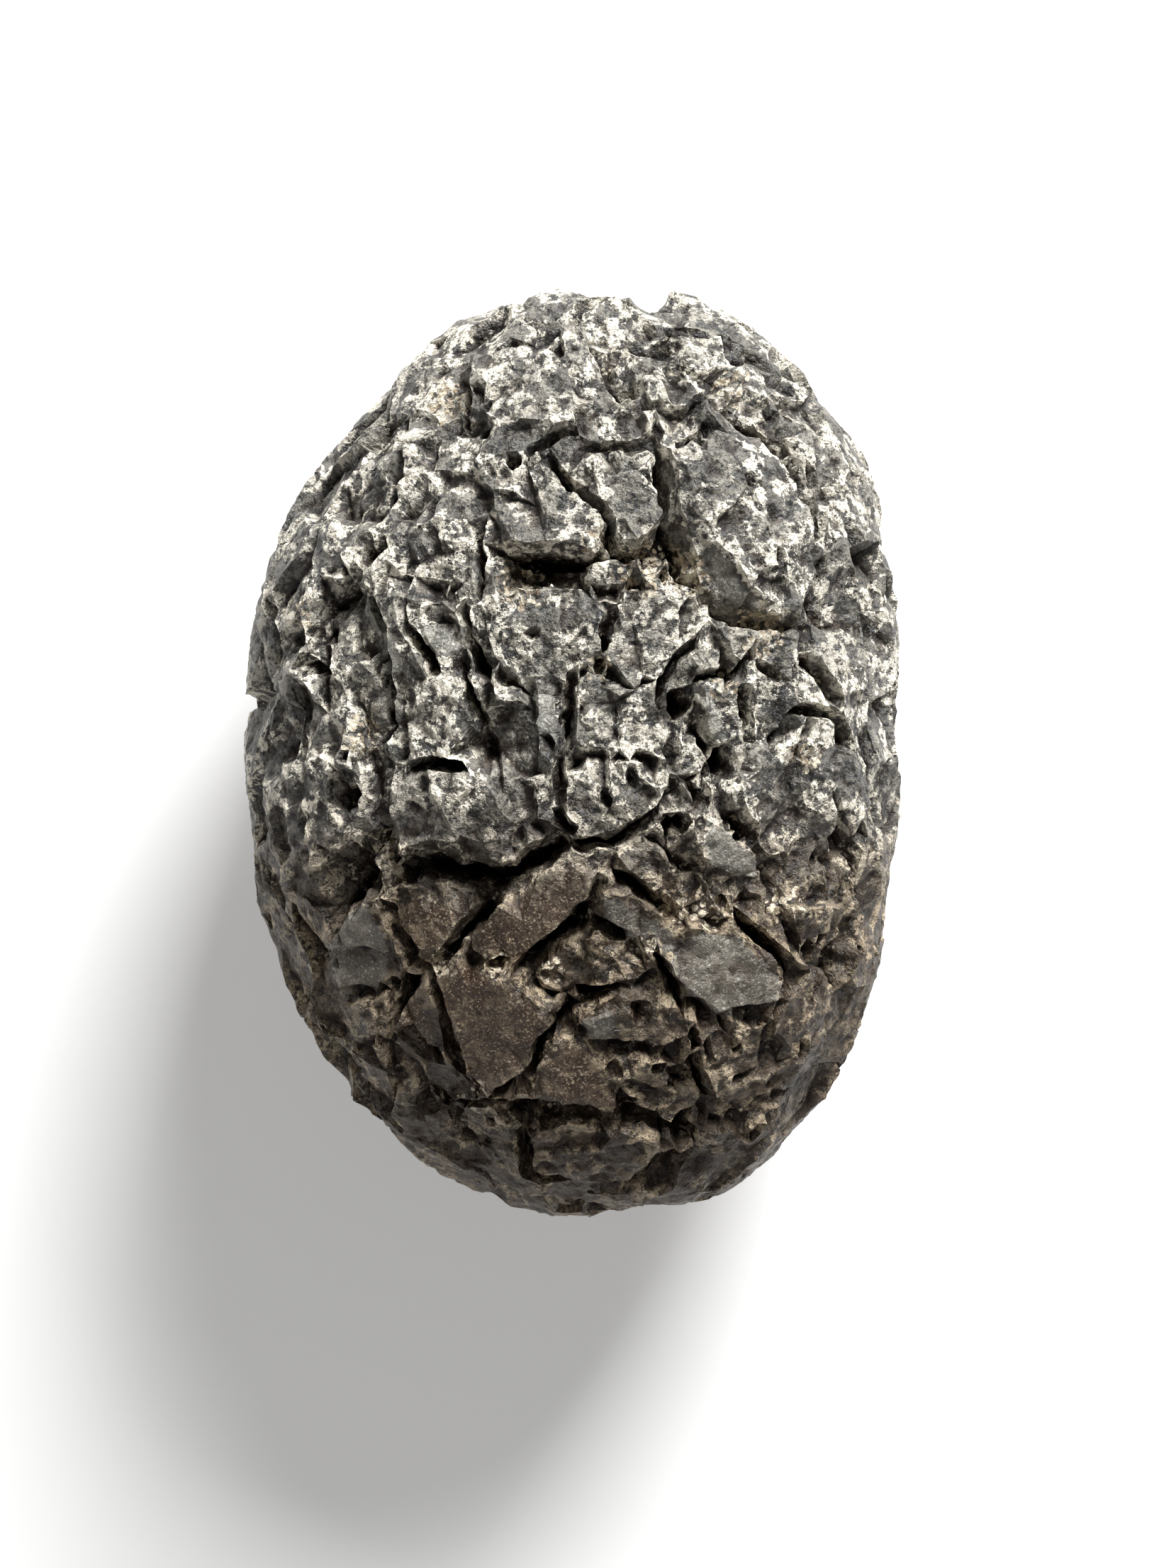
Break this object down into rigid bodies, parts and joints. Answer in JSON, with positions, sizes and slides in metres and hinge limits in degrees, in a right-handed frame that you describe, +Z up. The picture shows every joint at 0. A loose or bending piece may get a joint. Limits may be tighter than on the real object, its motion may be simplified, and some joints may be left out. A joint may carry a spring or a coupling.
{
  "type": "obsidian nodule",
  "caption": "Egg-shaped nodule of weathered black obsidian, with broken blocks, plates, fissures and pits worn down to a rounded skin; lies on a flat spot on its back",
  "frame": {"origin": "middle of the bounding box in X and Y, on the surface that the nodule rests on", "axes": "+Y along the nodule, the end with the fine broken blocks towards +Y; +X across it; +Z up, out of the side with the plates and fissures"},
  "size_m": [0.0436, 0.0618, 0.0355],
  "materials": {
    "weathered_obsidian": "etched and worn glass, satin, with bright chipped edges and pale crust in the fissures"
  },
  "bodies": {
    "root": {"obsidian": "weathered_obsidian"}
  },
  "joints": []
}
